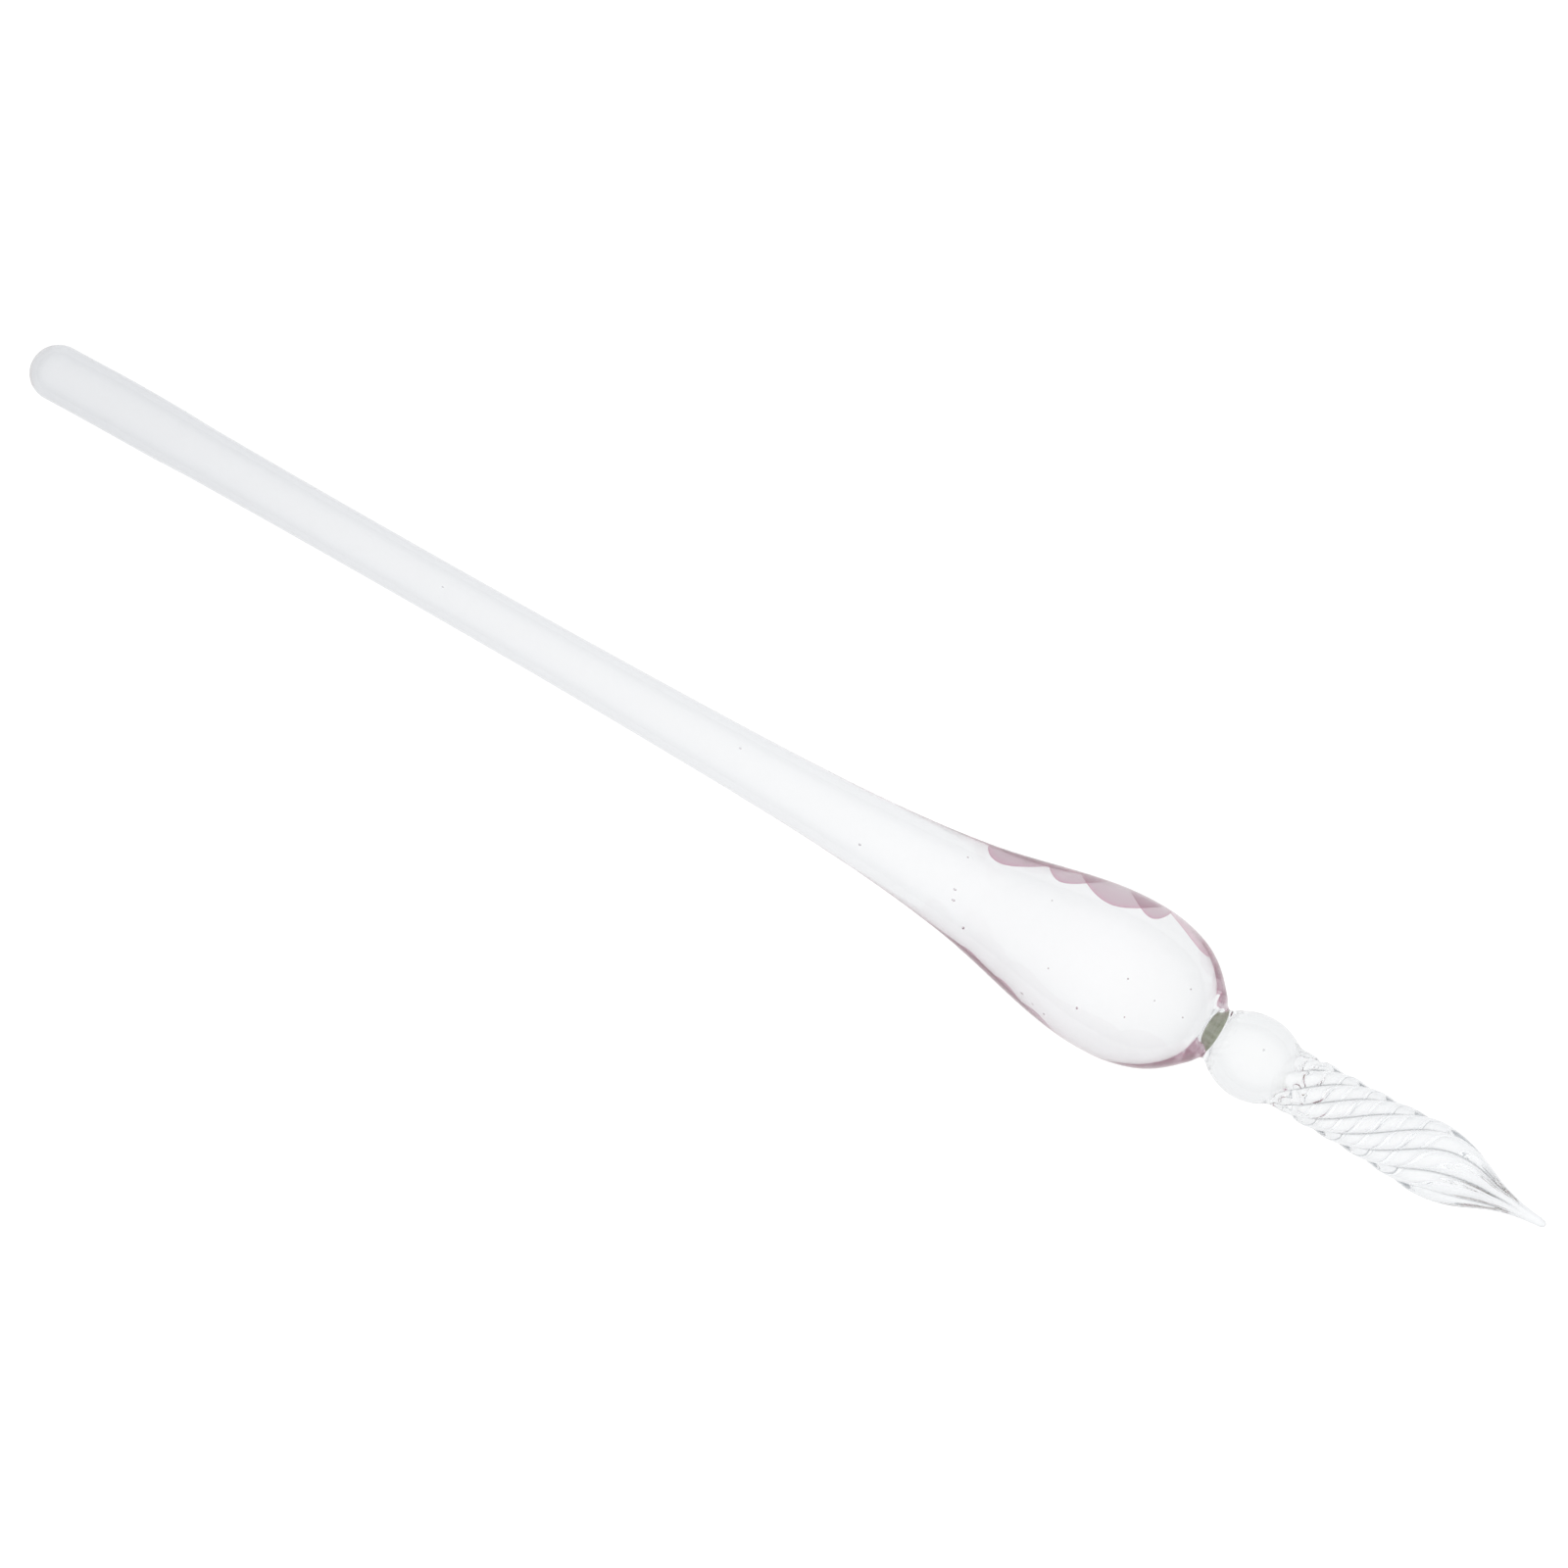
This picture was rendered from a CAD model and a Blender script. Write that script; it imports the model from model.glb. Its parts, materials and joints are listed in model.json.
"""The looks of the glass dip pen: clear skins, twisted nib strands, the flower in the grip, and the studio.

Metres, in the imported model's frame. The pen's own axis comes from the record's mount at the nib's end.
A station is a distance from the writing point along that axis, and an angle around it starts at the side that
faces up and grows towards +Y.
"""
import json
from math import cos, pi, radians, sqrt, tau

import bpy
import numpy as np
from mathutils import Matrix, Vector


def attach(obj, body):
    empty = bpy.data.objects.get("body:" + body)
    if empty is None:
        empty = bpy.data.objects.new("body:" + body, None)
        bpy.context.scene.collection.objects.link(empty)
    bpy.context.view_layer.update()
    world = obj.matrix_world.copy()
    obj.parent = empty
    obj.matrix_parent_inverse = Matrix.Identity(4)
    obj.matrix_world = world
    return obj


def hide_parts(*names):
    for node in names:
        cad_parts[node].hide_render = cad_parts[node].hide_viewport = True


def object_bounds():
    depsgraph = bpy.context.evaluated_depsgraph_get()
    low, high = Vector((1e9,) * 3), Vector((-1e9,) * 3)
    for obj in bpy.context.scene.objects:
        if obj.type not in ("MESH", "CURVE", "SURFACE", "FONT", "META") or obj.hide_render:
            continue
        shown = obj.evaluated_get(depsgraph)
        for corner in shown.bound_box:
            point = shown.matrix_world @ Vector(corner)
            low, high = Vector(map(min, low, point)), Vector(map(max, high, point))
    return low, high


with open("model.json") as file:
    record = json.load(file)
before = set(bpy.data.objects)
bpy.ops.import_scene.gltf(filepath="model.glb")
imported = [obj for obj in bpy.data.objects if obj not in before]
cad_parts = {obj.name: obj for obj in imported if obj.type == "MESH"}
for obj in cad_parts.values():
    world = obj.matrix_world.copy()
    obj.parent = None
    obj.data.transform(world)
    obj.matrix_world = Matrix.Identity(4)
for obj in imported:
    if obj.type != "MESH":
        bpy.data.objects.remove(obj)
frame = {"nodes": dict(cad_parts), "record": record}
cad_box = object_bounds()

MM = 0.001
SEED = 7

# The pen's axis.
MOUNTS = {mount["name"]: mount for mount in frame["record"]["mounts"]}
POINT = np.array(MOUNTS["nib_end"]["pos_m"])
AHEAD = np.array(MOUNTS["nib_end"]["axis"])
ACROSS = np.array([0.0, 1.0, 0.0])
UP = np.cross(AHEAD, ACROSS)

# How finely the skins are divided.
STRANDS = 8
STRAND_COLUMNS = 36
AROUND = STRANDS * STRAND_COLUMNS
CAP_RINGS = 40
BUBBLE_ROWS, BUBBLE_COLUMNS = 8, 12
# Up to a station, rings lie this far apart, in millimetres.
RING_STEPS = [(45, 0.15), (80, 0.4), (200, 1.2)]

# The nib.
GROOVE_SHARE = 0.8          # radius in a groove over radius on a crest
GROOVE_FILLET = 0.05 * MM
WELD_FILLET = 0.45 * MM
NECK_FILLET = 0.3 * MM
MELTED = (1.6 * MM, 6.5 * MM)       # between these stations the flutes melt away into the point
LINES_BEGIN = (2.0 * MM, 5.0 * MM)  # from here the drawn-out glass has fine lines
LINES_END = (11.0 * MM, 14.0 * MM)  # and up to here
FINE_LINES = [(19, 1.0, 0.0), (31, 0.8, 1.0), (44, 0.5, 2.4)]   # how many around, how high, and their turn
LINE_HEIGHT = 0.0035                # the height of the fine lines, as a share of the radius
SOFTENED = (26.5 * MM, 30.0 * MM)   # here the flutes get shallower towards the ball
SOFTENING = 0.55                    # by this share
BLOBS = (26.0 * MM, 29.0 * MM)      # from here the strands' ends are melted onto the ball
BLOB_HEIGHT = 0.05 * MM
BLOB_RADIUS = 3.4 * MM              # the nib's radius where the strands' ends are melted
BLOB_LENGTH = 1.9 * MM
JOINED = (28.0 * MM, 32.0 * MM)     # here the grooves run out on the ball
GROOVE_SHADE = 0.13 * MM            # half the width of the shade at the bottom of a groove
TIP_RADIUS = 0.36 * MM

# The handmade pen isn't quite straight: the nib and ball are melted on a little to one side, and the
# handle's end bends. Stations and sideways offsets of its middle line, in millimetres.
WANDER = [(0, -0.6), (12, -0.5), (28, -0.55), (38.5, -0.42), (40.2, 0), (170, 0), (180, -0.2)]


# ------------------------------------------------------------ the CAD model's shape, read from the frame

def polar(node):
    """Stations, angles and radii of a CAD node's vertices."""
    points = np.array([vertex.co for vertex in frame["nodes"][node].data.vertices]) - POINT
    return -points @ AHEAD, np.arctan2(points @ ACROSS, points @ UP), np.hypot(points @ ACROSS, points @ UP)


def span(node):
    stations = polar(node)[0]
    return stations.min(), stations.max()


def smoothed(values, width):
    """Values at even steps, averaged over a bell curve whose width is in steps."""
    reach = int(3 * width) + 1
    bell = np.exp(-0.5 * (np.arange(-reach, reach + 1) / width) ** 2)
    before = 2 * values[0] - values[reach:0:-1]
    after = 2 * values[-1] - values[-2:-reach - 2:-1]
    return np.convolve(np.concatenate([before, values, after]), bell / bell.sum(), "valid")


def traced(stations, values, width, apart, step=0.02 * MM):
    """A smooth curve through scattered values, as a function of the station."""
    stretch = np.round(stations / apart).astype(int)
    at = np.array([stations[stretch == k].mean() for k in np.unique(stretch)])
    mean = np.array([values[stretch == k].mean() for k in np.unique(stretch)])
    slope = np.gradient(mean, at)
    even = np.arange(at[0], at[-1] + step, step)
    k = np.clip(np.searchsorted(at, even) - 1, 0, len(at) - 2)
    gap = at[k + 1] - at[k]
    t = np.clip((even - at[k]) / gap, 0, 1)
    curve = ((1 + 2 * t) * (1 - t) ** 2 * mean[k] + t * (1 - t) ** 2 * gap * slope[k]
             + t * t * (3 - 2 * t) * mean[k + 1] + t * t * (t - 1) * gap * slope[k + 1])
    curve = smoothed(curve, width / step)
    return lambda s: np.interp(s, even, curve)


def body_outline():
    """The round skin's radius by station, from the neck to the start of the handle's round tip."""
    inside = 1.15 * polar("calyx")[2].max()
    stations, _, radii = polar("neck")
    parts = [(stations[radii > inside], radii[radii > inside])]
    stations, _, radii = polar("grip_core")
    casing = polar("grip_casing")[2].max() - radii.max()
    parts.append((stations[radii > inside], radii[radii > inside] + casing))
    for node in ("handle_rod", "handle_end"):
        stations, _, radii = polar(node)
        straight = stations < END_CENTRE + 0.01 * MM
        parts.append((stations[straight], radii[straight]))
    return traced(*(np.concatenate(column) for column in zip(*parts)), 0.12 * MM, 0.1 * MM)


def nib_outline():
    """The nib's crest radius and the turn of its first strand, by station."""
    stations, angles, radii = polar("nib_strand_1")
    point_stations, _, point_radii = polar("writing_point")
    stretch = np.floor(stations / (0.6 * MM)).astype(int)
    rows = []
    for k in np.unique(stretch):
        here = stretch == k
        crest = here & (radii > 0.985 * radii[here].max())
        heading = np.angle(np.exp(1j * angles[crest]).mean())
        rows.append((stations[crest].mean(), radii[crest].max(), heading))
    middle, crests, turns = (np.array(column) for column in zip(*rows))
    front = point_stations < POINT_END - 0.1 * MM
    radius = traced(np.concatenate([point_stations[front], middle]),
                    np.concatenate([point_radii[front], crests]), 0.5 * MM, 0.3 * MM)
    return radius, traced(middle, np.unwrap(turns), 0.9 * MM, 0.3 * MM)


LENGTH = span("handle_end")[1]
END_CENTRE = LENGTH - MOUNTS["handle_end_pin"]["dims"]["r_mm"] * MM
POINT_END = span("writing_point")[1]
STRANDS_END = span("nib_strand_1")[1]
NECK_START, GRIP_START = span("neck")
SHOULDER, SHANK_END = span("handle_rod")
BALL_RADIUS = polar("ball")[2].max()
BALL_END_RADIUS = polar("ball")[2][polar("ball")[0] > NECK_START - 0.01 * MM].max()
BALL_HALF = (NECK_START - span("ball")[0]) / (1 + sqrt(1 - (BALL_END_RADIUS / BALL_RADIUS) ** 2))
BALL_CENTRE = span("ball")[0] + BALL_HALF
BELLY_RADIUS = polar("grip_casing")[2].max()
BELLY = polar("grip_casing")[0][polar("grip_casing")[2] > BELLY_RADIUS - 0.001 * MM].mean()
round_radius = body_outline()
crest_radius, strand_turn = nib_outline()


# ------------------------------------------------------------ the skin: one smooth form, cut into pieces

def ramp(x, start, end):
    """Rises smoothly from 0 at start to 1 at end."""
    t = np.clip((x - start) / (end - start), 0, 1)
    return t * t * (3 - 2 * t)


def larger(a, b, fillet):
    """The larger of two radii, with a fillet where they cross."""
    return (a + b + np.sqrt((a - b) ** 2 + fillet**2)) / 2


class Waves:
    """Smooth seeded irregularity over stations and angles: a sum of waves about as long as asked."""

    def __init__(self, seed, length, count=24):
        draw = np.random.default_rng(SEED + seed)
        heading = draw.uniform(0, tau, count)
        number = tau / (length * draw.uniform(0.7, 1.5, count))
        self.along = number * np.cos(heading)
        self.around = number * np.sin(heading)
        self.phase = draw.uniform(0, tau, count)
        self.share = (2 / count) ** 0.5

    def __call__(self, stations, angles, radius):
        total = 0.0
        for along, around, phase in zip(self.along, self.around, self.phase):
            total = total + np.sin(along * stations + np.round(around * radius) * angles + phase)
        return total * self.share


def lobed(stations, angles):
    """The nib's radius: round lobes that twist around the axis and melt away at the point."""
    crest = crest_radius(stations)
    lobe = tau / STRANDS
    turn = angles - strand_turn(stations)
    off = np.abs((turn + lobe / 2) % lobe - lobe / 2)
    middle = (1 - GROOVE_SHARE**2) / (2 - 2 * GROOVE_SHARE * cos(lobe / 2))

    def arc(angle):
        side = np.maximum((1 - middle) ** 2 - (middle * np.sin(angle)) ** 2, 0)
        return middle * np.cos(angle) + np.sqrt(side)

    radius = crest * larger(arc(off), arc(lobe - off), GROOVE_FILLET / crest)
    flutes = ramp(stations, *MELTED) * (1 - SOFTENING * ramp(stations, *SOFTENED))
    radius = flutes * radius + (1 - flutes) * crest * (1 + GROOVE_SHARE) / 2
    lines = sum(height * np.cos(count * turn + start) for count, height, start in FINE_LINES)
    drawn = ramp(stations, *LINES_BEGIN) * (1 - ramp(stations, *LINES_END))
    return radius * (1 + LINE_HEIGHT * drawn * lines)


def groove_share(stations, angles):
    """1 at the bottom of a groove between two strands, 0 away from it."""
    lobe = tau / STRANDS
    turn = angles - strand_turn(np.minimum(stations, STRANDS_END))
    off = lobe / 2 - np.abs((turn + lobe / 2) % lobe - lobe / 2)
    depth = ramp(stations, *MELTED) * (1 - ramp(stations, *JOINED))
    return depth * np.exp(-(off * crest_radius(np.minimum(stations, STRANDS_END)) / GROOVE_SHADE) ** 2)


def skin_radius(stations, angles):
    """The pen's outer radius all over."""
    nib = lobed(stations, angles)
    blobs = ramp(stations, *BLOBS)
    nib = nib + blobs * BLOB_HEIGHT * MELT_WAVES(stations, angles, BLOB_RADIUS)
    ball = BALL_RADIUS * np.sqrt(np.maximum(1 - ((stations - BALL_CENTRE) / BALL_HALF) ** 2, 0.0))
    front = larger(nib, ball, WELD_FILLET)
    neck = round_radius(stations)
    middle = larger(ball, neck, NECK_FILLET)
    radius = np.where(stations < BALL_CENTRE, front, np.where(stations < GRIP_START, middle, neck))
    cap = np.sqrt(np.maximum((LENGTH - END_CENTRE) ** 2 - (stations - END_CENTRE) ** 2, 0.0))
    radius = np.where(stations > END_CENTRE, cap, radius)
    tip = np.sqrt(np.maximum(TIP_RADIUS**2 - (TIP_RADIUS - stations) ** 2, 0.0))
    return np.where(stations < TIP_RADIUS, np.minimum(radius, tip), radius)


MELT_WAVES = Waves(1, BLOB_LENGTH)


def middle_line(stations):
    """How far the pen's middle wanders across."""
    at, offset = (np.array(column) * MM for column in zip(*WANDER))
    even = np.linspace(0, LENGTH, 721)
    return np.interp(stations, even, smoothed(np.interp(even, at, offset), 6))


def in_space(stations, angles, radii):
    """Points from stations, angles and radii."""
    stations, angles, radii = np.broadcast_arrays(stations, angles, radii)
    across = radii * np.sin(angles) + middle_line(stations)
    up = radii * np.cos(angles)
    return POINT - stations[..., None] * AHEAD + across[..., None] * ACROSS + up[..., None] * UP


def rings(start, end):
    """Stations of the skin's rings, closer together on the round tips."""
    first, last = max(start, TIP_RADIUS), min(end, END_CENTRE)
    bounds = [first] + [limit * MM for limit, _ in RING_STEPS if first < limit * MM < last] + [last]
    parts = []
    for low, high in zip(bounds, bounds[1:]):
        step = next(step for limit, step in RING_STEPS if (low + high) / 2 < limit * MM) * MM
        stretch = np.linspace(low, high, max(2, round((high - low) / step)) + 1)
        parts.append(stretch if low == first else stretch[1:])
    turn = np.linspace(0, pi / 2, CAP_RINGS + 1)
    if start < TIP_RADIUS:
        parts.insert(0, TIP_RADIUS * (1 - np.cos(turn[:-1])))
    if end > END_CENTRE:
        parts.append(END_CENTRE + (LENGTH - END_CENTRE) * np.sin(turn[1:]))
    return np.concatenate(parts)


def skin(start, end, first=0, columns=AROUND, skip=1):
    """Points and normals of a stretch of the skin, as rings of columns that follow the strands' twist."""
    stations = rings(start, end)[:, None]
    angles = (first + skip * np.arange(columns + 1) - STRAND_COLUMNS / 2) * tau / AROUND
    angles = angles[None, :] + strand_turn(np.minimum(stations, STRANDS_END))

    def at(ds, da):
        s = np.clip(stations + ds, 0, LENGTH)
        return in_space(s, angles + da, skin_radius(s, angles + da))

    small = 0.04 * MM
    along = at(small, 0) - at(-small, 0)
    around = at(0, 1e-3) - at(0, -1e-3)
    normals = np.cross(around, along)
    size = np.linalg.norm(normals, axis=-1, keepdims=True)
    poles = np.where(stations[..., None] < LENGTH / 2, AHEAD, -AHEAD)
    normals = np.where(size > 1e-14, normals / np.maximum(size, 1e-14), poles)
    return at(0, 0), normals, stations, groove_share(stations, angles)


# ------------------------------------------------------------ pieces

def mesh_piece(name, points, faces, normals, grooves, materials, replaced):
    """A closed piece. faces are (corner indices, material index); normals are those of the skin's points."""
    mesh = bpy.data.meshes.new(name)
    mesh.from_pydata(points.tolist(), [], [corners for corners, _ in faces])
    for material in materials:
        mesh.materials.append(material)
    fused = np.array([kind for _, kind in faces])
    mesh.polygons.foreach_set("material_index", fused)
    mesh.polygons.foreach_set("use_smooth", fused == 0)
    mesh.update()
    loops = np.zeros((len(mesh.loops), 3))
    corner = 0
    for corners, kind in faces:
        if kind == 0:
            for index in corners:
                loops[corner] = normals[index]
                corner += 1
        else:
            corner += len(corners)
    mesh.normals_split_custom_set(loops.tolist())
    shade = mesh.attributes.new("groove", "FLOAT", "POINT")
    shade.data.foreach_set("value", np.pad(grooves.ravel(), (0, len(points) - grooves.size)))
    piece = bpy.data.objects.new(name, mesh)
    bpy.context.scene.collection.objects.link(piece)
    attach(piece, "root")
    if replaced:
        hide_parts(*replaced)
    return piece


def quads(rows, columns, offset=0):
    """The faces of a grid of points, rows along the pen and columns around it."""
    for i in range(rows - 1):
        for j in range(columns - 1):
            a = offset + i * columns + j
            yield (a, a + 1, a + columns + 1, a + columns)


def lathe_piece(name, start, end, materials, replaced, skip=1, bubbles=()):
    """A piece that goes all the way around the pen, closed by flat fused faces or by a round tip."""
    columns = AROUND // skip
    points, normals, _, grooves = skin(start, end, columns=columns, skip=skip)
    grooves = grooves[:, :-1]
    rows = points.shape[0]
    points, normals = points[:, :-1].reshape(-1, 3), normals[:, :-1].reshape(-1, 3)
    first_pole, last_pole = start <= 0, end >= LENGTH
    faces = []
    for i in range(rows - 1):
        for j in range(columns):
            a, b = i * columns + j, i * columns + (j + 1) % columns
            c, d = b + columns, a + columns
            if i == 0 and first_pole:
                faces.append(((a, c, d), 0))
            elif i == rows - 2 and last_pole:
                faces.append(((a, b, d), 0))
            else:
                faces.append(((a, b, c, d), 0))
    centres = [points[:columns].mean(0), points[-columns:].mean(0)]
    if not first_pole:
        centre = len(points)
        points = np.vstack([points, centres[0]])
        faces += [((centre, (j + 1) % columns, j), 1) for j in range(columns)]
    if not last_pole:
        centre = len(points)
        base = (rows - 1) * columns
        points = np.vstack([points, centres[1]])
        faces += [((centre, base + j, base + (j + 1) % columns), 1) for j in range(columns)]
    for bubble in bubbles:
        ball, ball_normals, ball_faces = air_bubble(*bubble)
        normals = np.vstack([normals, np.zeros((len(points) - len(normals), 3)), ball_normals])
        faces += [(tuple(index + len(points) for index in corners), 0) for corners in ball_faces]
        points = np.vstack([points, ball])
    return mesh_piece(name, points, faces, normals, grooves, materials, replaced)


def air_bubble(station, across, depth, size, stretch=1.0):
    """A seed bubble: points, normals and faces of a small cavity, turned inside out, in millimetres.

    It lies a share of the skin's radius across from the middle, and a depth below the skin that faces up.
    """
    skin_here = float(skin_radius(np.array(station * MM), np.array(0.0)))
    sideways = across * skin_here
    up = np.sqrt(skin_here**2 - sideways**2) - depth * MM
    middle = (POINT - station * MM * AHEAD + (sideways + middle_line(station * MM)) * ACROSS + up * UP)
    turns = np.arange(BUBBLE_COLUMNS) * tau / BUBBLE_COLUMNS
    low, high = np.meshgrid(np.linspace(0, pi, BUBBLE_ROWS)[1:-1], turns, indexing="ij")
    rows = np.stack([np.cos(low), np.sin(low) * np.cos(high), np.sin(low) * np.sin(high)], -1).reshape(-1, 3)
    unit = np.vstack([rows, [[1, 0, 0], [-1, 0, 0]]])
    frame_axes = np.stack([AHEAD, ACROSS, UP])
    points = middle + (unit * size * MM * np.array([stretch, 1, 1])) @ frame_axes
    normals = -(unit / np.array([stretch, 1, 1])) @ frame_axes
    normals /= np.linalg.norm(normals, axis=1, keepdims=True)
    count, first, last = BUBBLE_ROWS - 2, len(rows), len(rows) + 1
    faces = []
    for j in range(BUBBLE_COLUMNS):
        k = (j + 1) % BUBBLE_COLUMNS
        faces.append((first, k, j))
        for i in range(count - 1):
            a, b = i * BUBBLE_COLUMNS + j, i * BUBBLE_COLUMNS + k
            faces.append((a, b, b + BUBBLE_COLUMNS, a + BUBBLE_COLUMNS))
        base = (count - 1) * BUBBLE_COLUMNS
        faces.append((last, base + j, base + k))
    return points, normals, faces


def strand_piece(number, materials):
    """One twisted strand: a lobe of the skin, closed by fused faces that meet on the nib's middle line."""
    points, normals, stations, grooves = skin(POINT_END, STRANDS_END, number * STRAND_COLUMNS, STRAND_COLUMNS)
    rows, columns = points.shape[:2]
    middle = in_space(stations[:, 0], 0.0, 0.0)
    faces = [(corners, 0) for corners in quads(rows, columns)]
    base = rows * columns
    last = columns - 1
    for i in range(rows - 1):
        near, far = base + i, base + i + 1
        faces.append(((near, i * columns, (i + 1) * columns, far), 1))
        faces.append(((far, (i + 1) * columns + last, i * columns + last, near), 1))
    for j in range(columns - 1):
        faces.append(((base, j + 1, j), 1))
        end = (rows - 1) * columns + j
        faces.append(((base + rows - 1, end, end + 1), 1))
    points = np.vstack([points.reshape(-1, 3), middle])
    replaced = [f"nib_strand_{number + 1}"] + (["nib_core"] if number == 0 else [])
    name = f"strand_{number + 1}_glass"
    normals = normals.reshape(-1, 3)
    return mesh_piece(name, points, faces, normals, grooves, materials, replaced)


PETAL_RINGS = 14
PETAL_COLUMNS = 72
PETAL_OVAL = 0.7            # how far a petal's outline is rounded towards an oval
PETAL_ROUNDING = 0.92       # from this share of the way to its rim a petal gets thinner


def hull(points):
    """The convex outline of points in a plane, counter-clockwise."""
    points = points[np.lexsort((points[:, 1], points[:, 0]))]
    chain = []
    for run in (points, points[::-1]):
        part = []
        for p in run:
            while len(part) > 1:
                (ax, ay), (bx, by) = part[-1] - part[-2], p - part[-2]
                if ax * by - ay * bx > 0:
                    break
                part.pop()
            part.append(p)
        chain += part[:-1]
    return np.array(chain)


def petal_piece(node, material):
    """A petal with a thin round rim. It fills the CAD petal's outline between its two depths."""
    stations, angles, radii = polar(node)
    facing = np.angle(np.exp(1j * angles).mean())
    depths = round_radius(stations) - radii
    outer, inner = depths.min(), depths.max()
    flat = np.stack([stations, radii * np.sin(angles - facing)], 1)
    rim = hull(flat)
    around = np.vstack([rim, rim[:1]])
    run = np.concatenate([[0], np.cumsum(np.linalg.norm(np.diff(around, axis=0), axis=1))])
    even = np.linspace(0, run[-1], PETAL_COLUMNS + 1)[:-1]
    rim = np.stack([np.interp(even, run, around[:, k]) for k in (0, 1)], 1)
    axes = np.linalg.eigh(np.cov(rim.T))[1]
    own = rim @ axes
    low, high = own.min(0), own.max(0)
    unit = (own - (low + high) / 2) / (high - low)
    oval = (low + high) / 2 + (high - low) / 2 * unit / np.linalg.norm(unit, axis=1, keepdims=True)
    rim = (1 - PETAL_OVAL) * rim + PETAL_OVAL * oval @ axes.T
    heart = rim.mean(0)
    shares = np.sin(np.linspace(0, pi / 2, PETAL_RINGS + 1))[1:]
    grid = heart + shares[:, None, None] * (rim - heart)
    beyond = np.clip((shares - PETAL_ROUNDING) / (1 - PETAL_ROUNDING), 0, 1)
    half = (inner - outer) / 2 * np.sqrt(np.clip(1 - beyond**2, 0, 1))[:, None]

    def lay(plane, half_thickness, way):
        s, t = plane[..., 0], plane[..., 1]
        radius = round_radius(s) - (outer + inner) / 2 + way * half_thickness
        turn = facing + np.arcsin(np.clip(t / radius, -1, 1))
        return in_space(s, turn, radius)

    points, edge, faces = [], [], []
    for way in (1, -1):
        base = len(points)
        points.append(lay(heart[None], np.array([(inner - outer) / 2]), way)[0])
        edge.append(0.0)
        sheet = lay(grid, half, way)
        rows = PETAL_RINGS if way == 1 else PETAL_RINGS - 1
        for i in range(rows):
            points += list(sheet[i])
            edge += [shares[i]] * PETAL_COLUMNS
        ring = [[base + 1 + i * PETAL_COLUMNS + j for j in range(PETAL_COLUMNS)] for i in range(rows)]
        if way == 1:
            shared = ring[-1]
        else:
            ring.append(shared)
        for j in range(PETAL_COLUMNS):
            k = (j + 1) % PETAL_COLUMNS
            fan = (base, ring[0][j], ring[0][k])
            faces.append(fan if way == 1 else fan[::-1])
            for low, high in zip(ring, ring[1:]):
                quad = (low[j], high[j], high[k], low[k])
                faces.append(quad if way == 1 else quad[::-1])
    mesh = bpy.data.meshes.new(node)
    mesh.from_pydata([tuple(p) for p in points], [], faces)
    mesh.materials.append(material)
    mesh.polygons.foreach_set("use_smooth", [True] * len(faces))
    rim_share = mesh.attributes.new("rim", "FLOAT", "POINT")
    rim_share.data.foreach_set("value", edge)
    mesh.update()
    face_outwards(mesh)
    piece = bpy.data.objects.new(f"{node}_glass", mesh)
    bpy.context.scene.collection.objects.link(piece)
    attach(piece, "root")
    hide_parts(node)


def face_outwards(mesh):
    """Turns a closed mesh's faces over if they point inwards."""
    volume = 0.0
    for polygon in mesh.polygons:
        corners = [mesh.vertices[i].co for i in polygon.vertices]
        for b, c in zip(corners[1:], corners[2:]):
            volume += corners[0].dot(b.cross(c))
    if volume < 0:
        mesh.flip_normals()


# ------------------------------------------------------------ materials

def new_material(name):
    material = bpy.data.materials.new(name)
    material.use_nodes = True
    tree = material.node_tree
    tree.nodes.clear()
    return material, tree, tree.nodes.new("ShaderNodeOutputMaterial")


def ramp_node(tree, source, stops):
    """A colour ramp from (position, colour) stops, fed from a socket."""
    node = tree.nodes.new("ShaderNodeValToRGB")
    elements = node.color_ramp.elements
    while len(elements) < len(stops):
        elements.new(0.5)
    for element, (position, colour) in zip(elements, stops):
        element.position = position
        element.color = (*colour, 1)
    tree.links.new(source, node.inputs[0])
    return node


# The clear glass's tint: by how slantingly its skin is seen, along the pen from the handle's end to the
# point, and by how near a place is to the bottom of a groove. It acts where light enters and where it leaves.
EDGE_TINT = [(0.0, (1.0, 1.0, 1.0)), (0.05, (0.985, 0.987, 0.99)), (0.2, (0.925, 0.93, 0.937)),
             (0.5, (0.865, 0.87, 0.88)), (0.68, (0.8, 0.805, 0.815)), (0.8, (0.7, 0.705, 0.715)),
             (0.92, (0.52, 0.53, 0.54)), (1.0, (0.38, 0.39, 0.4))]
LENGTH_TINT = [(0.0, (0.76, 0.77, 0.787)), (0.44, (0.843, 0.85, 0.86)), (0.71, (0.92, 0.925, 0.93)),
               (0.785, (0.875, 0.883, 0.885)), (0.96, (0.865, 0.875, 0.885))]
GROOVE_TINT = [(0.0, (1.0, 1.0, 1.0)), (0.35, (0.84, 0.845, 0.85)), (1.0, (0.26, 0.27, 0.28))]
FAR_GROOVES = 0.2           # share of a groove's shade that is left where light leaves the glass
GLASS_STREAKS = (60, 500, 500)
STREAK_HEIGHT = 0.02 * MM


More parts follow.
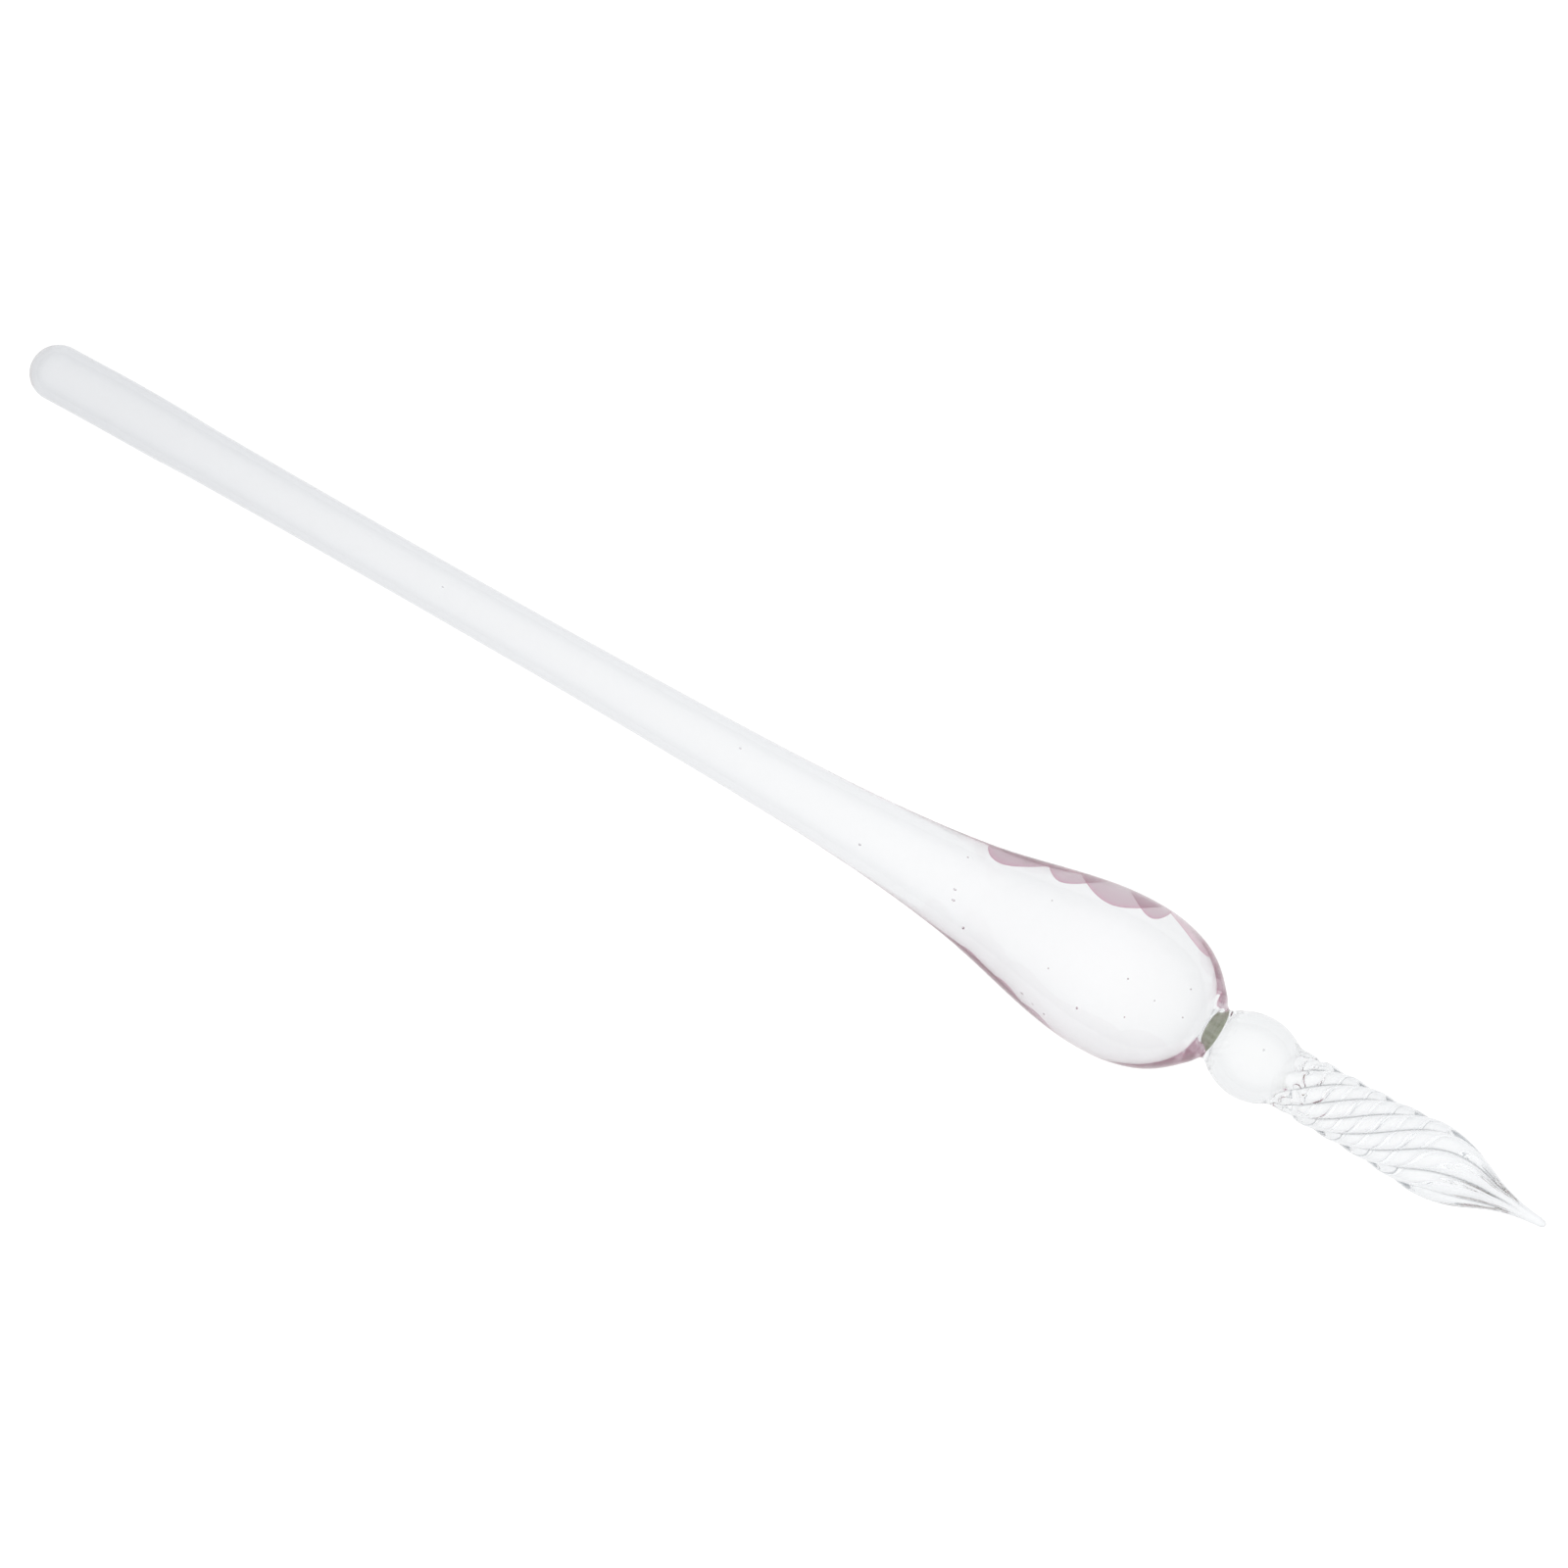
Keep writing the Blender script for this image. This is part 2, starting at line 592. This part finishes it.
def clear_glass():
    """Fire-polished clear glass: faintly streaky, and a little greyer where one looks along its skin."""
    material, tree, output = new_material("clear_glass")
    glass = tree.nodes.new("ShaderNodeBsdfPrincipled")
    glass.inputs["Transmission Weight"].default_value = 1.0
    glass.inputs["Roughness"].default_value = 0.0
    glass.inputs["IOR"].default_value = 1.5
    slant = tree.nodes.new("ShaderNodeLayerWeight")
    slant.inputs["Blend"].default_value = 0.5
    edge = ramp_node(tree, slant.outputs["Facing"], EDGE_TINT)
    where = tree.nodes.new("ShaderNodeTexCoord")
    split = tree.nodes.new("ShaderNodeSeparateXYZ")
    along = tree.nodes.new("ShaderNodeMapRange")
    along.inputs["From Min"].default_value = -LENGTH / 2
    along.inputs["From Max"].default_value = LENGTH / 2
    tree.links.new(where.outputs["Object"], split.inputs[0])
    tree.links.new(split.outputs["X"], along.inputs["Value"])
    batch = ramp_node(tree, along.outputs[0], LENGTH_TINT)
    tint = tree.nodes.new("ShaderNodeMix")
    tint.data_type = "RGBA"
    tint.blend_type = "MULTIPLY"
    tint.inputs["Factor"].default_value = 1.0
    tree.links.new(edge.outputs[0], tint.inputs["A"])
    tree.links.new(batch.outputs[0], tint.inputs["B"])
    groove = tree.nodes.new("ShaderNodeAttribute")
    groove.attribute_name = "groove"
    side = tree.nodes.new("ShaderNodeNewGeometry")
    outer = tree.nodes.new("ShaderNodeMath")
    outer.operation = "MULTIPLY_ADD"
    tree.links.new(side.outputs["Backfacing"], outer.inputs[0])
    outer.inputs[1].default_value = FAR_GROOVES - 1
    outer.inputs[2].default_value = 1.0
    depth = tree.nodes.new("ShaderNodeMath")
    depth.operation = "MULTIPLY"
    tree.links.new(groove.outputs["Fac"], depth.inputs[0])
    tree.links.new(outer.outputs[0], depth.inputs[1])
    shade = ramp_node(tree, depth.outputs[0], GROOVE_TINT)
    shaded = tree.nodes.new("ShaderNodeMix")
    shaded.data_type = "RGBA"
    shaded.blend_type = "MULTIPLY"
    shaded.inputs["Factor"].default_value = 1.0
    tree.links.new(tint.outputs["Result"], shaded.inputs["A"])
    tree.links.new(shade.outputs[0], shaded.inputs["B"])
    tree.links.new(shaded.outputs["Result"], glass.inputs["Base Color"])
    place = tree.nodes.new("ShaderNodeTexCoord")
    streaks = tree.nodes.new("ShaderNodeMapping")
    streaks.inputs["Scale"].default_value = GLASS_STREAKS
    noise = tree.nodes.new("ShaderNodeTexNoise")
    noise.inputs["Scale"].default_value = 1.0
    noise.inputs["Detail"].default_value = 2.0
    bump = tree.nodes.new("ShaderNodeBump")
    bump.inputs["Strength"].default_value = 0.25
    bump.inputs["Distance"].default_value = STREAK_HEIGHT
    tree.links.new(place.outputs["Object"], streaks.inputs["Vector"])
    tree.links.new(streaks.outputs[0], noise.inputs["Vector"])
    tree.links.new(noise.outputs["Fac"], bump.inputs["Height"])
    tree.links.new(bump.outputs[0], glass.inputs["Normal"])
    tree.links.new(glass.outputs[0], output.inputs["Surface"])
    return material


def fused_glass():
    """The face where two pieces of glass have flowed together: nothing to see."""
    material, tree, output = new_material("fused_face")
    clear = tree.nodes.new("ShaderNodeBsdfTransparent")
    tree.links.new(clear.outputs[0], output.inputs["Surface"])
    return material


DEEP_PINK = [(0.0, (0.89, 0.84, 0.865)), (0.9, (0.88, 0.82, 0.85)), (0.97, (0.88, 0.77, 0.82)),
             (1.0, (0.87, 0.72, 0.79))]
PALE_PINK = [(0.0, (0.97, 0.90, 0.925)), (0.9, (0.965, 0.885, 0.915)), (1.0, (0.95, 0.83, 0.88))]
MILKY_PINK = (0.84, 0.50, 0.60, 1)
MILKY_SHARE = 0.17


def petal_glass(name, colours):
    """Thin pink glass, slightly milky, and deeper in colour along its rim."""
    material, tree, output = new_material(name)
    rim = tree.nodes.new("ShaderNodeAttribute")
    rim.attribute_name = "rim"
    clear = tree.nodes.new("ShaderNodeBsdfTransparent")
    tint = ramp_node(tree, rim.outputs["Fac"], colours)
    tree.links.new(tint.outputs[0], clear.inputs["Color"])
    milky = tree.nodes.new("ShaderNodeBsdfTranslucent")
    milky.inputs["Color"].default_value = MILKY_PINK
    front = tree.nodes.new("ShaderNodeBsdfDiffuse")
    front.inputs["Color"].default_value = MILKY_PINK
    body = tree.nodes.new("ShaderNodeMixShader")
    body.inputs[0].default_value = 0.5
    tree.links.new(milky.outputs[0], body.inputs[1])
    tree.links.new(front.outputs[0], body.inputs[2])
    mix = tree.nodes.new("ShaderNodeMixShader")
    mix.inputs[0].default_value = MILKY_SHARE
    tree.links.new(clear.outputs[0], mix.inputs[1])
    tree.links.new(body.outputs[0], mix.inputs[2])
    tree.links.new(mix.outputs[0], output.inputs["Surface"])
    return material


GREEN_STREAKS = [(0.35, (0.40, 0.43, 0.31)), (0.65, (0.70, 0.72, 0.60))]
CLEAR_GREEN = (0.85, 0.87, 0.78, 1)
GREEN_SHARE = 0.55          # how much of the calyx is dense glass


def calyx_glass():
    """Olive green glass with darker streaks along the pen."""
    material, tree, output = new_material("green_glass")
    place = tree.nodes.new("ShaderNodeTexCoord")
    streaks = tree.nodes.new("ShaderNodeMapping")
    streaks.inputs["Scale"].default_value = (300, 2500, 2500)
    noise = tree.nodes.new("ShaderNodeTexNoise")
    noise.inputs["Scale"].default_value = 1.0
    tree.links.new(place.outputs["Object"], streaks.inputs["Vector"])
    tree.links.new(streaks.outputs[0], noise.inputs["Vector"])
    tint = ramp_node(tree, noise.outputs["Fac"], GREEN_STREAKS)
    clear = tree.nodes.new("ShaderNodeBsdfTransparent")
    clear.inputs["Color"].default_value = CLEAR_GREEN
    front = tree.nodes.new("ShaderNodeBsdfPrincipled")
    front.inputs["Roughness"].default_value = 0.35
    tree.links.new(tint.outputs[0], front.inputs["Base Color"])
    mix = tree.nodes.new("ShaderNodeMixShader")
    mix.inputs[0].default_value = GREEN_SHARE
    tree.links.new(clear.outputs[0], mix.inputs[1])
    tree.links.new(front.outputs[0], mix.inputs[2])
    tree.links.new(mix.outputs[0], output.inputs["Surface"])
    return material


CLEAR = [clear_glass(), fused_glass()]
PINK = petal_glass("pink_glass", DEEP_PINK)
PALE = petal_glass("pale_pink_glass", PALE_PINK)
GREEN = calyx_glass()

# Seed bubbles: station, share of the radius across, depth below the skin, size, stretch along the pen.
HANDLE_BUBBLES = [(80.4, -0.35, 0.8, 0.10, 1.6), (96.0, 0.3, 0.6, 0.07, 2.2), (131.0, 0.1, 0.9, 0.06, 2.0)]
GRIP_BUBBLES = [(70.1, 0.55, 0.5, 0.08, 1.4), (69.6, -0.12, 0.9, 0.09, 2.0), (69.2, -0.3, 1.0, 0.10, 2.2),
                (66.9, -0.62, 0.8, 0.16, 1.0), (60.4, 0.45, 0.5, 0.06, 1.0), (57.3, -0.36, 0.9, 0.08, 1.0),
                (58.4, -0.84, 0.5, 0.07, 3.0), (56.9, -0.86, 0.5, 0.06, 2.5), (55.4, -0.87, 0.5, 0.09, 1.5),
                (52.8, -0.57, 0.8, 0.13, 1.0), (49.8, 0.02, 0.8, 0.09, 1.0), (48.2, -0.39, 0.8, 0.08, 1.0),
                (46.4, -0.05, 0.7, 0.07, 1.0), (43.8, 0.33, 0.7, 0.09, 1.0), (43.1, -0.07, 0.6, 0.08, 1.0)]
BALL_BUBBLES = [(34.1, 0.25, 0.7, 0.11, 1.0)]

lathe_piece("handle_end_glass", SHANK_END, LENGTH, CLEAR, ["handle_end"], skip=2)
lathe_piece("handle_glass", SHOULDER, SHANK_END, CLEAR, ["handle_rod"], 2, HANDLE_BUBBLES)
lathe_piece("grip_glass", GRIP_START, SHOULDER, CLEAR, ["grip_core", "grip_casing"], 1, GRIP_BUBBLES)
lathe_piece("neck_glass", NECK_START, GRIP_START, CLEAR, ["neck"])
lathe_piece("ball_glass", STRANDS_END, NECK_START, CLEAR, ["ball"], 1, BALL_BUBBLES)
for k in range(STRANDS):
    strand_piece(k, CLEAR)
lathe_piece("writing_point_glass", 0.0, POINT_END, CLEAR, ["writing_point"])

for name in [name for name in frame["nodes"] if name.startswith("petal")]:
    petal_piece(name, PALE if polar(name)[0].mean() < BELLY else PINK)
frame["nodes"]["calyx"].material_slots[0].material = GREEN


# ------------------------------------------------------------ the studio

PHOTO_TURN = radians(29.67)     # how far the pen's nib points below the picture's level
PICTURE_WIDTH = 0.1614          # what the picture's width covers at the pen
PICTURE_CENTRE = (-0.0004, 0.00008)     # where the picture's middle lies from the middle of the pen
LENS, SENSOR = 150.0, 36.0
FLOOR_HALF = 3.0
FLOOR_HEIGHT = -0.0001          # the pen lies on the pale table top
BRIGHT_HALF = (0.2, 0.13)       # the table is at its brightest this far along and across the pen
FALLOFF = 0.5                   # and is at its darkest this much farther out
FLOOR_GLOW = [(0.0, 0.95), (0.16, 0.82), (0.45, 0.62), (1.0, 0.36)]
FLOOR_PAPER = (0.15, 0.15, 0.15, 1)
DOME = [(0.0, (0.5, 0.5, 0.51)), (0.5, (1.0, 1.0, 1.0))]
DOME_STRENGTH = 1.2
MOST_BOUNCES = 96           # light is thrown to and fro many times along the inside of the handle
MOST_CLEAR_FACES = 64


def studio():
    """A pale table that glows around the pen, and a soft dome that is darker towards the horizon."""
    mesh = bpy.data.meshes.new("floor")
    h, z = FLOOR_HALF, FLOOR_HEIGHT
    mesh.from_pydata([(-h, -h, z), (h, -h, z), (h, h, z), (-h, h, z)], [], [(0, 1, 2, 3)])
    material, tree, output = new_material("floor_paper")
    place = tree.nodes.new("ShaderNodeTexCoord")
    split = tree.nodes.new("ShaderNodeSeparateXYZ")
    tree.links.new(place.outputs["Object"], split.inputs[0])
    beyond = []
    for axis, half in zip("XY", BRIGHT_HALF):
        size = tree.nodes.new("ShaderNodeMath")
        size.operation = "ABSOLUTE"
        tree.links.new(split.outputs[axis], size.inputs[0])
        over = tree.nodes.new("ShaderNodeMath")
        over.operation = "SUBTRACT"
        over.inputs[1].default_value = half
        tree.links.new(size.outputs[0], over.inputs[0])
        beyond.append(over)
    farther = tree.nodes.new("ShaderNodeMath")
    farther.operation = "MAXIMUM"
    tree.links.new(beyond[0].outputs[0], farther.inputs[0])
    tree.links.new(beyond[1].outputs[0], farther.inputs[1])
    fall = tree.nodes.new("ShaderNodeMapRange")
    fall.inputs["From Max"].default_value = FALLOFF
    tree.links.new(farther.outputs[0], fall.inputs["Value"])
    shade = ramp_node(tree, fall.outputs[0], [(at, (light, light, light)) for at, light in FLOOR_GLOW])
    glow = tree.nodes.new("ShaderNodeEmission")
    tree.links.new(shade.outputs[0], glow.inputs["Color"])
    paper = tree.nodes.new("ShaderNodeBsdfDiffuse")
    paper.inputs["Color"].default_value = FLOOR_PAPER
    both = tree.nodes.new("ShaderNodeAddShader")
    tree.links.new(glow.outputs[0], both.inputs[0])
    tree.links.new(paper.outputs[0], both.inputs[1])
    tree.links.new(both.outputs[0], output.inputs["Surface"])
    mesh.materials.append(material)
    floor = bpy.data.objects.new("floor", mesh)
    bpy.context.scene.collection.objects.link(floor)
    world = bpy.data.worlds.new("studio")
    bpy.context.scene.world = world
    world.use_nodes = True
    tree = world.node_tree
    tree.nodes.clear()
    place = tree.nodes.new("ShaderNodeTexCoord")
    split = tree.nodes.new("ShaderNodeSeparateXYZ")
    light = tree.nodes.new("ShaderNodeBackground")
    output = tree.nodes.new("ShaderNodeOutputWorld")
    tree.links.new(place.outputs["Generated"], split.inputs[0])
    dome = ramp_node(tree, split.outputs["Z"], DOME)
    tree.links.new(dome.outputs[0], light.inputs["Color"])
    tree.links.new(light.outputs[0], output.inputs["Surface"])
    light.inputs["Strength"].default_value = DOME_STRENGTH


def camera():
    """Looks straight down on the pen, turned as in the photograph."""
    data = bpy.data.cameras.new("camera")
    data.lens, data.sensor_width = LENS, SENSOR
    data.clip_start, data.clip_end = 0.01, 20
    eye = bpy.data.objects.new("camera", data)
    bpy.context.scene.collection.objects.link(eye)
    low, high = cad_box
    centre = (low + high) / 2
    height = PICTURE_WIDTH * LENS / SENSOR
    along, across = PICTURE_CENTRE
    eye.location = (centre.x + along, centre.y + across, centre.z + height)
    eye.rotation_euler = (0, 0, PHOTO_TURN)
    bpy.context.scene.camera = eye


studio()
camera()
scene = bpy.context.scene
scene.view_settings.view_transform = "Standard"
scene.cycles.max_bounces = MOST_BOUNCES
scene.cycles.transmission_bounces = MOST_BOUNCES
scene.cycles.transparent_max_bounces = MOST_CLEAR_FACES
scene.cycles.glossy_bounces = MOST_BOUNCES

bpy.context.view_layer.update()
